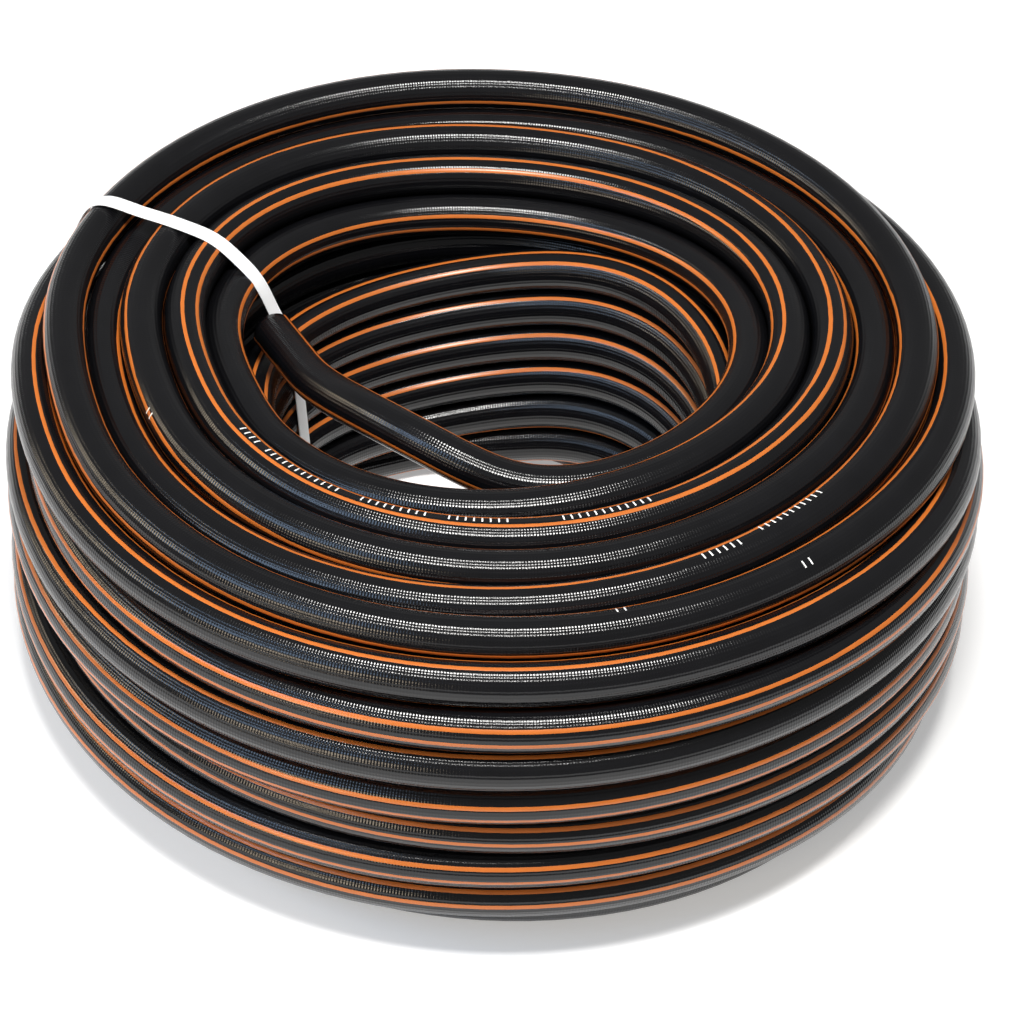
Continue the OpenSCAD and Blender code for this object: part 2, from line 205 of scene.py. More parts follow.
class HoseColours(bpy.types.PropertyGroup):
    jacket: bpy.props.FloatVectorProperty(
        name="Jacket", description="Colour of the hose", subtype="COLOR", size=3, min=0, max=1,
        default=(0.0035, 0.0035, 0.0042))
    stripe: bpy.props.FloatVectorProperty(
        name="Stripe", description="Colour of the stripes", subtype="COLOR", size=3, min=0, max=1,
        default=(0.47, 0.125, 0.019))
    yarn: bpy.props.FloatVectorProperty(
        name="Yarn", description="Colour of the braided yarn", subtype="COLOR", size=3, min=0, max=1,
        default=(0.62, 0.60, 0.55))
    liner: bpy.props.FloatVectorProperty(
        name="Inner tube", description="Colour of the inner tube", subtype="COLOR", size=3, min=0, max=1,
        default=(0.016, 0.016, 0.018))
    strap: bpy.props.FloatVectorProperty(
        name="Strap", description="Colour of the strap", subtype="COLOR", size=3, min=0, max=1,
        default=(0.80, 0.81, 0.82))
    ticks: bpy.props.FloatVectorProperty(
        name="Ticks", description="Colour of the printed ticks", subtype="COLOR", size=3, min=0, max=1,
        default=(0.78, 0.78, 0.76))
    floor: bpy.props.FloatVectorProperty(
        name="Floor", description="Colour of the floor", subtype="COLOR", size=3, min=0, max=1,
        default=(0.80, 0.80, 0.80))


# ---------------------------------------------------------------- route of the hose, in millimetres

def ease(a, b, x):
    """0 before a, 1 after b, and smooth between them."""
    u = min(1.0, max(0.0, (x - a) / (b - a)))
    return u * u * (3 - 2 * u)


def cosd(a):
    return math.cos(math.radians(a))


def sind(a):
    return math.sin(math.radians(a))


class Winding:
    """The outer layer of the coil: where every turn lies on the section, at any azimuth."""

    def __init__(self, hose, coil, strap):
        self.hose, self.coil, self.strap = hose, coil, strap
        d = hose.hose_d
        self.foot_cut = d / 10
        self.wall_r = (coil.coil_d - d) / 2
        self.hole_a = (coil.hole_w + d) / 2
        self.hole_b = (coil.hole_d + d) / 2
        self.top_z = coil.coil_h - d / 2
        self.low_z = d / 2 - self.foot_cut
        self.closing = (coil.tail_azimuth + 22, coil.tail_azimuth + 97)
        self.opening = (coil.lead_azimuth + 235, coil.lead_azimuth + 325)
        self.start = coil.lead_azimuth
        self.last = self.start + 360 * WOUND_TURNS + (coil.tail_azimuth - self.start)
        self.rise = self.climb()
        step = 360 / SAMPLES
        rows = [self.turns_at(self.start + k * step) for k in range(SAMPLES)]
        count = round((self.last - self.start) / step)
        self.table = np.array([rows[s % SAMPLES][s // SAMPLES] for s in range(count + 1)])

    def back_share(self, azimuth):
        return (1 + sind(azimuth)) / 2

    def sink_share(self, azimuth):
        return ((1 + cosd(azimuth - self.coil.sink_azimuth)) / 2) ** 0.8

    def toe_share(self, azimuth):
        return ((1 + cosd(azimuth - TOE_AZIMUTH)) / 2) ** 1.2

    def inner_r(self, azimuth):
        ray = np.array([cosd(azimuth) / self.hole_a, sind(azimuth) / self.hole_b])
        centre = np.array([-self.coil.hole_left / self.hole_a, self.coil.hole_back / self.hole_b])
        toward, reach = ray @ centre, ray @ ray
        return (toward + math.sqrt(toward ** 2 + reach * (1 - centre @ centre))) / reach

    def lowest_z(self, azimuth):
        turn = abs((azimuth - self.strap.azimuth) % 360)
        apart = min(turn, 360 - turn)
        return self.low_z + (self.strap.thick + SEAT + self.foot_cut) * (1 - ease(15, 36, apart))

    def section(self, azimuth):
        """Corner centres, legs, whole length, corner radii and the radius of the wall of the hole."""
        back = self.back_share(azimuth)
        shares = (back ** 1.5, back, back, back)
        c = [f * (1 - s) + b * s for f, b, s in zip(self.coil.front_corners, self.coil.back_corners, shares)]
        inner, low = self.inner_r(azimuth), self.lowest_z(azimuth)
        centres = [(self.wall_r - c[0], self.top_z - c[0]), (self.wall_r - c[1], low + c[1]),
                   (inner + c[2], low + c[2]), (inner + c[3], self.top_z - c[3])]
        legs = []
        for i in range(4):
            j = (i + 3) % 4
            dx = centres[i][0] - centres[j][0] + (c[i] - c[j]) * cosd(90 - 90 * i)
            dz = centres[i][1] - centres[j][1] + (c[i] - c[j]) * sind(90 - 90 * i)
            legs += [math.hypot(dx, dz), math.pi / 2 * c[i]]
        return centres, legs, sum(legs), c, inner

    def on_section(self, t, sec):
        centres, legs, whole, c, _ = sec
        t = t % whole
        i = 0
        while i < 7 and t > legs[i]:
            t -= legs[i]
            i += 1
        q = i // 2
        k = (q + 3) % 4 if i % 2 == 0 else q
        face = math.pi / 2 * (1 - q) - (0 if i % 2 == 0 else t / c[k])
        x = centres[k][0] + c[k] * math.cos(face)
        z = centres[k][1] + c[k] * math.sin(face)
        if i % 2 == 0:
            x += t * math.sin(face)
            z -= t * math.cos(face)
        return x, z, face

    def settled(self, x, z, azimuth, sec):
        back, inner = self.back_share(azimuth), sec[4]
        u = min(1, max(0, (x - inner) / (self.wall_r - inner)))
        v = min(1, max(0, (self.top_z - z) / (self.top_z - self.low_z)))
        near_rim = (1 - u) * max(0, 1 - 2 * v)
        toe = self.coil.toe * self.toe_share(azimuth) * v * max(0, 1 - 1.5 * u)
        return x - toe - self.coil.overhang * (1 - back) * near_rim, z - self.coil.dip * back ** 4 * near_rim

    def sinks(self, turn, azimuth):
        first = 1 if azimuth < self.coil.sink_azimuth + 180 else 2
        return (turn % WOUND_TURNS + first) % 3 == 2

    def place(self, t, sinking, azimuth, sec):
        x, z, face = self.on_section(t, sec)
        if sinking:
            depth = self.coil.sink_depth * self.sink_share(azimuth) * (1 - max(0, -math.cos(face)) ** 2)
            x -= depth * math.cos(face)
            z -= depth * math.sin(face)
        return self.settled(x, z, azimuth, sec)

    def pitch_at(self, t, azimuth, sec, slack):
        side = math.radians(90 + OPEN_SWING * sind(azimuth))
        face = self.on_section(t, sec)[2]
        return self.hose.hose_d + self.coil.turn_gap + slack * ((1 - math.cos(face - side)) / 2) ** 2

    def spread(self, t0, azimuth, sec, slack):
        ts = [t0]
        for turn in range(WOUND_TURNS):
            x0, z0 = self.place(ts[-1], self.sinks(turn, azimuth), azimuth, sec)
            pitch = self.pitch_at(ts[-1], azimuth, sec, slack)
            sinking = self.sinks(turn + 1, azimuth)
            t = ts[-1] + pitch
            for _ in range(14):
                x, z = self.place(t, sinking, azimuth, sec)
                t += 0.95 * (pitch - math.hypot(x - x0, z - z0))
            ts.append(t)
        return ts

    def fit_slack(self, t0, azimuth, sec):
        free = (1 + self.coil.end_room) * (1 - ease(*self.closing, azimuth) + ease(*self.opening, azimuth))
        low, high = -2.0, 30.0
        for _ in range(16):
            slack = (low + high) / 2
            last = self.spread(t0, azimuth, sec, slack)[-1]
            if last + free * self.pitch_at(last, azimuth, sec, slack) < t0 + sec[2]:
                low = slack
            else:
                high = slack
        return (low + high) / 2

    def climb(self):
        sec = self.section(self.start)
        slack = self.fit_slack(-self.coil.lead_drop, self.start, sec)
        return self.spread(-self.coil.lead_drop, self.start, sec, slack)[1] + self.coil.lead_drop

    def turns_at(self, azimuth):
        """[radius, height] of every turn at one azimuth, from the upper end's azimuth to a whole turn on."""
        sec, lead = self.section(azimuth), self.start
        slip = ease(lead + 60, lead + 160, azimuth) * (1 - ease(lead + 260, lead + 350, azimuth))
        t0 = (self.rise * ease(lead, lead + self.coil.lead_climb, azimuth)
              - self.coil.lead_drop - self.coil.back_slip * slip)
        slack = self.fit_slack(t0, azimuth, sec)
        ts = self.spread(t0, azimuth, sec, slack)
        return [self.place(t, self.sinks(n, azimuth), azimuth, sec) for n, t in enumerate(ts)]

    def bow(self, wound):
        return (self.coil.lead_bow * ease(self.start - 60, self.start + 20, wound)
                * (1 - ease(self.start + 20, self.start + 125, wound))
                + self.coil.tail_bow * ease(self.last - 110, self.last - 10, wound))

    def lift(self, wound):
        return (self.coil.lead_lift * ease(self.start - 40, self.start + 30, wound)
                * (1 - ease(self.start + 30, self.start + 105, wound)))

    def at(self, wound):
        """Section point of the outer layer at an angle wound from the upper end's azimuth."""
        s = (wound - self.start) / 360 * SAMPLES
        i = min(max(int(math.floor(s)), 0), len(self.table) - 2)
        u = s - i
        p1, p2 = self.table[i], self.table[i + 1]
        p0 = self.table[i - 1] if i > 0 else 2 * p1 - p2
        p3 = self.table[i + 2] if i + 2 < len(self.table) else 2 * p2 - p1
        r, z = 0.5 * (2 * p1 + (p2 - p0) * u + (2 * p0 - 5 * p1 + 4 * p2 - p3) * u * u
                      + (3 * p1 - p0 - 3 * p2 + p3) * u ** 3)
        return np.array([r - self.bow(wound), z + self.lift(wound)])


class Core:
    """The turns inside the outer layer: where each lies at any azimuth."""

    ORDER = [(2, 101), (2, 125.5), (2, 150), (1, 132), (0, 139), (0, 115), (1, 107), (1, 82),
             (0, 91), (0, 67), (0, 43), (1, 57), (2, 52)]

    def __init__(self, winding):
        self.w = winding

    def cell(self, k, azimuth):
        """Centre of one cell. At the front the section is higher and wider than at the back."""
        column, z = self.ORDER[min(max(k, 0), len(self.ORDER) - 1)]
        inner = self.w.inner_r(azimuth) + CORE_INSET
        r = (inner, (inner + CORE_OUTER) / 2, CORE_OUTER)[column]
        front = 1 - self.w.back_share(azimuth)
        lift = front * (0.22 if column == 0 else 0.14) * (z - 43)
        lowered = (6, 4, 0)[column] * front
        return np.array([r, z + lift - lowered])

    def at(self, wound, first):
        """Section point at an angle wound, where the first inner turn starts at the angle first."""
        azimuth = wound % 360
        turn = (wound - first) / 360
        k = int(math.floor(turn))
        here = self.cell(k, azimuth)
        moved = ease(0.5, 0.75, turn - k)
        return here + moved * (self.cell(k + 1, azimuth) - here)


def route(w):
    """Centreline of the whole hose and how many turns along each ring lies, or -1 inside the coil."""
    core = Core(w)
    hatch = w.start + 360 * 9 + 240                # where the outer wall lets the hose into the coil
    inside_run = 360 * len(core.ORDER)
    step = 360 / RINGS
    rings, turns = [], []

    def add(section, wound, turn):
        r, z = section
        rings.append((r * cosd(wound), r * sind(wound), z))
        turns.append(turn)

    def add_outer(first, last):
        for i in range(int(round((last - first) / step)) + 1):
            wound = first + i * step
            add(w.at(wound), wound, (wound - w.start) / 360)

    add_outer(w.start, hatch)
    for i in range(1, int((inside_run + RETURN_RUN) / CORE_STEP)):
        past = i * CORE_STEP
        entering = past < 180
        wall = w.at(hatch + past - (0 if entering else inside_run))
        hall = np.array([CORE_OUTER, wall[1]])
        inner = core.at(hatch + past, hatch + 50)
        if entering:
            p = wall + ease(0, 30, past) * (hall - wall)
            p = p + ease(25, 60, past) * (inner - p)
        else:
            p = hall + ease(inside_run + 68, inside_run + RETURN_RUN, past) * (wall - hall)
            p = p + (1 - ease(inside_run + 45, inside_run + 75, past)) * (inner - p)
        add(p, hatch + past, -1)
    add_outer(hatch + RETURN_RUN, w.last)
    return np.array(rings), turns


# ---------------------------------------------------------------- mesh helpers, in metres

def unit(v):
    return v / np.linalg.norm(v)


def frames(points):
    """Unit vectors along, beside and above a route at each of its points."""
    along = np.gradient(points, axis=0)
    along /= np.linalg.norm(along, axis=1)[:, None]
    side = np.cross(along, (0.0, 0.0, 1.0))
    side /= np.linalg.norm(side, axis=1)[:, None]
    return along, side, np.cross(side, along)


def new_object(name, verts, faces, material, uvs=None, smooth=True):
    """A mesh object in the scene. Its uvs are given by vertex."""
    mesh = bpy.data.meshes.new(name)
    mesh.from_pydata([tuple(v) for v in verts], [], faces)
    mesh.update()
    if uvs is not None:
        layer = mesh.uv_layers.new(name="hose")
        index = np.empty(len(mesh.loops), dtype=np.int32)
        mesh.loops.foreach_get("vertex_index", index)
        layer.data.foreach_set("uv", np.asarray(uvs)[index].astype(np.float32).ravel())
    obj = bpy.data.objects.new(name, mesh)
    bpy.context.scene.collection.objects.link(obj)
    mesh.materials.append(material)
    for p in mesh.polygons:
        p.use_smooth = smooth
    return obj


def lengths(points):
    """Distance run along a line at each of its points."""
    return np.concatenate([[0], np.cumsum(np.linalg.norm(np.diff(points, axis=0), axis=1))])


# ---------------------------------------------------------------- materials

class Nodes:
    """Short calls for a material's node tree."""

    def __init__(self, name):
        self.material = bpy.data.materials.get(name) or bpy.data.materials.new(name)
        self.material.use_nodes = True
        self.tree = self.material.node_tree
        self.tree.nodes.clear()
        self.out = self.tree.nodes.new("ShaderNodeOutputMaterial")

    def add(self, kind, **settings):
        node = self.tree.nodes.new(kind)
        for key, value in settings.items():
            if hasattr(node, key):
                setattr(node, key, value)
            else:
                node.inputs[key.replace("_", " ")].default_value = value
        return node

    def link(self, source, target):
        self.tree.links.new(source, target)

    def math(self, operation, a, b=None):
        node = self.tree.nodes.new("ShaderNodeMath")
        node.operation = operation
        for socket, value in ((node.inputs[0], a), (node.inputs[1], b)):
            if value is None:
                continue
            if isinstance(value, (int, float)):
                socket.default_value = value
            else:
                self.link(value, socket)
        return node.outputs[0]

    def surface(self, colour, roughness, **sockets):
        shader = self.tree.nodes.new("ShaderNodeBsdfPrincipled")
        shader.inputs["Base Color"].default_value = (*colour, 1)
        shader.inputs["Roughness"].default_value = roughness
        for key, value in sockets.items():
            shader.inputs[key.replace("_", " ")].default_value = value
        self.link(shader.outputs[0], self.out.inputs[0])
        return shader

    def noise(self, vector, scale, detail=2):
        node = self.tree.nodes.new("ShaderNodeTexNoise")
        node.inputs["Scale"].default_value = scale
        node.inputs["Detail"].default_value = detail
        self.link(vector, node.inputs["Vector"])
        return node.outputs["Fac"]

    def bump(self, height, strength, distance, shader):
        """Relief on a shader, its distance in millimetres."""
        node = self.tree.nodes.new("ShaderNodeBump")
        node.inputs["Strength"].default_value = strength
        node.inputs["Distance"].default_value = distance * MM
        self.link(height, node.inputs["Height"])
        self.link(node.outputs[0], shader.inputs["Normal"])


def varied(n, colour, amount, scale, shader):
    """Slight unevenness of a colour, as the place and the noise that it comes from."""
    place = n.add("ShaderNodeTexCoord").outputs["Object"]
    noise = n.noise(place, scale, 3)
    mix = n.tree.nodes.new("ShaderNodeMix")
    mix.data_type = "RGBA"
    mix.inputs["A"].default_value = (*[c * (1 - amount) for c in colour], 1)
    mix.inputs["B"].default_value = (*[min(1, c * (1 + amount)) for c in colour], 1)
    n.link(noise, mix.inputs["Factor"])
    n.link(mix.outputs["Result"], shader.inputs["Base Color"])
    return place, noise


def hose_coordinates(n):
    """Turn round the hose or the strap and metres along it."""
    split = n.add("ShaderNodeSeparateXYZ")
    n.link(n.add("ShaderNodeUVMap", uv_map="hose").outputs[0], split.inputs[0])
    return split.outputs[0], split.outputs[1]


def braid_height(n, yarns_round=16, pitch_along=3.2 * MM):
    """Height of the crossed yarns that show through the jacket, from the hose's own coordinates."""
    u, v = hose_coordinates(n)
    turn = n.math("MULTIPLY", u, 2 * math.pi * yarns_round)
    run = n.math("MULTIPLY", v, 2 * math.pi / pitch_along)
    one = n.math("SINE", n.math("ADD", turn, run))
    other = n.math("SINE", n.math("SUBTRACT", turn, run))
    return n.math("MULTIPLY", one, other)


def jacket_material(colour):
    n = Nodes("black_soft_pvc")
    shader = n.surface(colour, 0.2, Specular_IOR_Level=0.42)
    place, noise = varied(n, colour, 0.25, 60, shader)
    grain = n.math("MULTIPLY", n.noise(place, 900), 0.5)
    n.bump(n.math("ADD", n.math("MULTIPLY", braid_height(n), 0.75), grain), 0.6, 0.18, shader)
    scuffs = n.add("ShaderNodeMapRange")
    scuffs.inputs["To Min"].default_value = 0.14
    scuffs.inputs["To Max"].default_value = 0.22
    n.link(noise, scuffs.inputs["Value"])
    n.link(scuffs.outputs[0], shader.inputs["Roughness"])
    return n.material


def stripe_material(colour):
    n = Nodes("orange_soft_pvc")
    shader = n.surface(colour, 0.3)
    varied(n, colour, 0.12, 90, shader)
    n.bump(braid_height(n), 0.2, 0.1, shader)
    return n.material


def plain_plastic(name, colour, roughness):
    n = Nodes(name)
    shader = n.surface(colour, roughness)
    place, _ = varied(n, colour, 0.08, 120, shader)
    n.bump(n.noise(place, 700), 0.3, 0.05, shader)
    return n.material


def yarn_material(colour):
    n = Nodes("braided_polyester_yarn")
    shader = n.surface(colour, 0.75, Sheen_Weight=0.3)
    place, _ = varied(n, colour, 0.2, 200, shader)
    waves = []
    for angle in (35, -35):
        turn = n.add("ShaderNodeMapping")
        turn.inputs["Rotation"].default_value = (0, 0, math.radians(angle))
        n.link(place, turn.inputs["Vector"])
        wave = n.add("ShaderNodeTexWave")
        wave.inputs["Scale"].default_value = 260
        n.link(turn.outputs[0], wave.inputs["Vector"])
        waves.append(wave.outputs["Fac"])
    n.bump(n.math("MULTIPLY", *waves), 0.8, 0.15, shader)
    return n.material


def strap_material(colour, pitch=1.4 * MM):
    """White strapping with a rolled diamond relief."""
    n = Nodes("white_strapping")
    shader = n.surface(colour, 0.38)
    varied(n, colour, 0.05, 150, shader)
    u, v = hose_coordinates(n)
    ribs = [n.math("SINE", n.math("MULTIPLY", n.math(way, u, v), 2 * math.pi / pitch))
            for way in ("ADD", "SUBTRACT")]
    n.bump(n.math("MAXIMUM", *ribs), 0.35, 0.1, shader)
    return n.material


# ---------------------------------------------------------------- pieces

STATE = {}


def winding():
    """The solved winding. The first call also lays the route of the hose and its two straight ends."""
    if "winding" not in STATE:
        scene = bpy.context.scene
        w = Winding(scene.hose_sizes, scene.coil_sizes, scene.strap_sizes)
        rings, turns = route(w)
        ends = []
        for wound, step, azimuth, turn in ((w.start, 1, w.start + 1, 0),
                                           (w.last, -1, w.coil.tail_azimuth - 1, WOUND_TURNS)):
            here = w.at(wound)
            r, z = w.turns_at(azimuth)[turn]
            r, z = r - w.bow(wound + step), z + w.lift(wound + step)
            p = np.array([here[0] * cosd(wound), here[0] * sind(wound), here[1]])
            q = np.array([r * cosd(wound + step), r * sind(wound + step), z])
            ends.append((p, unit(p - q)))
        run = w.hose.hose_d + w.coil.end_l
        lead = [ends[0][0] + ends[0][1] * u for u in np.linspace(run, 3, END_RINGS)]
        tail = [ends[1][0] + ends[1][1] * u for u in np.linspace(3, run, END_RINGS)]
        STATE["winding"] = w
        STATE["route"] = np.concatenate([lead, rings, tail]) * MM
        STATE["turns"] = [0.0] * len(lead) + turns + [turns[-1]] * len(tail)
    return STATE["winding"]


def stripe_phase(turn):
    """Which way the stripes face, at a place counted in turns from the upper end."""
    keys = []
    for i, (front, back) in enumerate(STRIPE_FACES):
        keys += [(i + 90 / 360, front), (i + 270 / 360, back)]
    xs, ys = zip(*keys)
    i = int(np.searchsorted(xs, turn))
    if i == 0:
        return ys[0]
    if i == len(xs):
        return ys[-1]
    return ys[i - 1] + (ys[i] - ys[i - 1]) * ease(xs[i - 1], xs[i], turn)


class HOSE_OT_jacket(bpy.types.Operator):
    """Lays the whole hose, from one cut end to the other, as one hollow-ended tube"""

    bl_idname = "hose.jacket"
    bl_label = "Hose"

    def execute(self, context):
        w = winding()
        points = STATE["route"]
        radius = w.hose.hose_d / 2 * MM
        braid_r = (w.hose.bore_d / 2 + w.hose.liner_t + w.hose.braid_t) * MM
        run = lengths(points)
        along, side, up = frames(points)
        verts, uvs, faces = [], [], []
        row = SIDES + 1
        for i, p in enumerate(points):
            for j in range(row):
                a = 2 * math.pi * j / SIDES
                v = p + radius * (math.cos(a) * side[i] + math.sin(a) * up[i])
                v[2] = max(v[2], 0.0)
                verts.append(v)
                uvs.append((j / SIDES, run[i]))
        for i in range(len(points) - 1):
            for j in range(SIDES):
                a = i * row + j
                faces.append((a, a + row, a + row + 1, a + 1))
        end_l = w.coil.end_l * MM
        for k, outward in ((0, -along[0]), (len(points) - 1, along[-1])):
            first = len(verts)
            rim = k * row
            for depth, r in ((0, radius - 0.25 * MM), (0, braid_r), (end_l, braid_r), (end_l, 0.0)):
                for j in range(row):
                    a = 2 * math.pi * j / SIDES
                    centre = points[k] - outward * depth + (outward * 0.12 * MM if depth == 0 else 0)
                    verts.append(centre + r * (math.cos(a) * side[k] + math.sin(a) * up[k]))
                    uvs.append((j / SIDES, run[k]))
            starts = [rim, first, first + row, first + 2 * row, first + 3 * row]
            for a0, b0 in zip(starts, starts[1:]):
                for j in range(SIDES):
                    quad = (a0 + j, a0 + j + 1, b0 + j + 1, b0 + j)
                    faces.append(quad if k == 0 else quad[::-1])
        colours = context.scene.hose_colours
        obj = new_object("hose", verts, faces, jacket_material(tuple(colours.jacket)), uvs)
        bm = bmesh.new()
        bm.from_mesh(obj.data)
        bmesh.ops.remove_doubles(bm, verts=bm.verts, dist=1e-7)
        bm.to_mesh(obj.data)
        bm.free()
        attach(obj, "root")
        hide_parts("hose_winding", "hidden_turns", "lead_jacket", "tail_jacket")
        STATE["hose"] = obj
        return {"FINISHED"}


class HOSE_OT_stripes(bpy.types.Operator):
    """Runs four stripes along the hose, in two pairs on opposite sides"""

    bl_idname = "hose.stripes"
    bl_label = "Stripes"

    def execute(self, context):
        w = winding()
        points, turns = STATE["route"], STATE["turns"]
        known = [i for i, t in enumerate(turns) if t >= 0]
        phases = np.interp(np.arange(len(turns)), known, [stripe_phase(turns[i]) for i in known])
        turn_each_way = np.ones(2 * RINGS + 1)
        shown = np.flatnonzero(np.convolve(np.array(turns) >= 0, turn_each_way, mode="same") > 0.5)
        run = lengths(points)
        _, side, up = frames(points)
        radius = w.hose.hose_d / 2 * MM + 0.05 * MM
        half = w.hose.stripe_w / w.hose.hose_d
        verts, uvs, faces = [], [], []
        previous = None
        for i in shown:
            start = len(verts)
            for pair in (0, 180):
                for s in (-1, 1):
                    centre = math.radians(phases[i] + pair + s * w.hose.stripe_pair / 2)
                    for part in (-1, -0.5, 0, 0.5, 1):
                        a = centre + half * part
                        r = radius - (0.1 * MM if abs(part) == 1 else 0)
                        v = points[i] + r * (math.cos(a) * side[i] + math.sin(a) * up[i])
                        v[2] = max(v[2], 0.02 * MM)
                        verts.append(v)
                        uvs.append((a / (2 * math.pi), run[i]))
            if previous == i - 1:
                for line in range(4):
                    for j in range(4):
                        b = start + line * 5 + j
                        a = b - 20
                        faces.append((a, b, b + 1, a + 1))
            previous = i
        colours = context.scene.hose_colours
        obj = new_object("hose_stripes", verts, faces, stripe_material(tuple(colours.stripe)), uvs)
        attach(obj, "root")
        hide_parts("lead_stripes", "tail_stripes")
        STATE["stripes"] = obj
        return {"FINISHED"}


class HOSE_OT_ticks(bpy.types.Operator):
    """Prints rows of plain ticks on the uppermost turns"""

    bl_idname = "hose.ticks"
    bl_label = "Ticks"

    def execute(self, context):
        w = winding()
        points, turns = np.array(STATE["route"]), np.array(STATE["turns"])
        run = lengths(points)
        _, side, up = frames(points)
        top = (turns >= 0) & (turns < TICK_TURNS)
        radius = w.hose.hose_d / 2 * MM + 0.08 * MM
        half = w.hose.tick_h / w.hose.hose_d
        verts, uvs, faces = [], [], []
        for first, last, facing in TICK_ROWS:
            start, end = np.interp((first, last), turns[top], run[top])
            for near in np.arange(start, end, TICK_PITCH * MM):
                base = len(verts)
                for at in (near, near + w.hose.tick_w * MM):
                    p, o, u = (np.array([np.interp(at, run, np.array(v)[:, k]) for k in range(3)])
                               for v in (points, side, up))
                    for part in (-1, -0.5, 0, 0.5, 1):
                        a = math.radians(facing) + half * part
                        verts.append(p + radius * (math.cos(a) * o + math.sin(a) * u))
                        uvs.append((a / (2 * math.pi), at))
                for j in range(4):
                    faces.append((base + j, base + j + 5, base + j + 6, base + j + 1))
        if not faces:
            self.report({"ERROR"}, "no ticks fall on the hose")
            raise RuntimeError("no ticks fall on the hose")
        colours = context.scene.hose_colours
        ink = plain_plastic("white_print", tuple(colours.ticks), 0.5)
        obj = new_object("hose_ticks", verts, faces, ink, uvs)
        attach(obj, "root")
        STATE["ticks"] = obj
        return {"FINISHED"}


class HOSE_OT_ends(bpy.types.Operator):
    """Finishes the braid and the inner tube where the cut ends show them"""

    bl_idname = "hose.ends"
    bl_label = "Cut ends"

    def execute(self, context):
        colours = context.scene.hose_colours
        yarn = yarn_material(tuple(colours.yarn))
        liner = plain_plastic("inner_tube_pvc", tuple(colours.liner), 0.4)
        for end in ("lead", "tail"):
            for piece, material in (("braid", yarn), ("liner", liner)):
                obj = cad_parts[f"{end}_{piece}"]
                for slot in obj.material_slots:
                    slot.material = material
        return {"FINISHED"}


def outline(points):
    """Convex outline of sorted points in a plane, back to its first point."""
    def half(points):
        line = []
        for p in points:
            while len(line) > 1 and ((line[-1][0] - line[-2][0]) * (p[1] - line[-2][1])
                                     - (line[-1][1] - line[-2][1]) * (p[0] - line[-2][0])) <= 0:
                line.pop()
            line.append(p)
        return line[:-1]

    hull = np.array(half(points) + half(points[::-1]))
    return np.vstack([hull, hull[:1]])


def outward_of(line):
    """Unit vectors that point out of a closed line in a plane."""
    tangent = np.roll(line, -1, axis=0) - np.roll(line, 1, axis=0)
    tangent /= np.linalg.norm(tangent, axis=1)[:, None]
    return np.stack([tangent[:, 1], -tangent[:, 0]], axis=1)


def eased(values, reach=10):
    """Values along a closed line, each evened out with its neighbours."""
    weights = np.cos(np.linspace(-math.pi / 2, math.pi / 2, 2 * reach + 1)) ** 2
    weights /= weights.sum()
    return sum(np.roll(values, k - reach, axis=0) * u for k, u in enumerate(weights))


def strap_line(w):
    """The strap's inner face on the section and the run along it: smooth, and clear of every turn."""
    azimuth = w.strap.azimuth + (360 if w.strap.azimuth < w.start else 0)
    r = w.hose.hose_d / 2 + SEAT
    centres = []
    turn = 0
    while azimuth + 360 * turn <= w.last:
        centres.append(w.at(azimuth + 360 * turn))
        turn += 1
    cloud = sorted({(round(float(c[0] + r * cosd(a)), 4), round(float(c[1] + r * sind(a)), 4))
                    for c in centres for a in range(0, 360, 4)})
    loop = outline(cloud)
    run = lengths(loop)
    at = np.linspace(0, run[-1], STRAP_POINTS, endpoint=False)
    line = np.stack([np.interp(at, run, loop[:, k]) for k in (0, 1)], axis=1)
    even = eased(line)
    outward = outward_of(even)
    inside = np.maximum(((line - even) * outward).sum(axis=1), 0)
    most = np.max([np.roll(inside, k) for k in range(-8, 9)], axis=0)
    line = even + outward * eased(most)[:, None]
    line[:, 1] = np.maximum(line[:, 1], w.strap.thick + 0.02)
    return line, at


